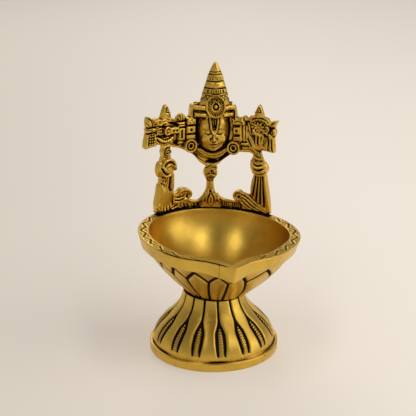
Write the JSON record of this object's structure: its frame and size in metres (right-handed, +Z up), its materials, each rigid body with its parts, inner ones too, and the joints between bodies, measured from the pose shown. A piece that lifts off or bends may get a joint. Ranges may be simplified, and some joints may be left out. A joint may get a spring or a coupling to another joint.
{
  "type": "oil lamp",
  "caption": "Cast brass standing oil lamp: a hollow flared foot, a spouted bowl with lotus petals, and an openwork panel with a crowned head between a conch and a discus.",
  "frame": {"origin": "on the surface it stands on, under the middle of the whole lamp's footprint box", "axes": "+Z up, the longest way; -Y along the spout, away from the panel; +X to the right of someone who faces the spout"},
  "size_m": [0.0774, 0.0874, 0.1333],
  "materials": {
    "polished_cast_brass": "satin polish with dark patina in the cut lines",
    "antiqued_cast_brass": "worn cast brass with dark recesses",
    "plain_brass": "turned, unpolished"
  },
  "bodies": {
    "root": {"foot": "polished_cast_brass", "bowl": "polished_cast_brass", "figure_panel": "antiqued_cast_brass", "centre_stud": "plain_brass", "stud_washer": "plain_brass", "stud_nut": "plain_brass", "panel_pin_left": "plain_brass", "panel_pin_right": "plain_brass"}
  },
  "joints": []
}
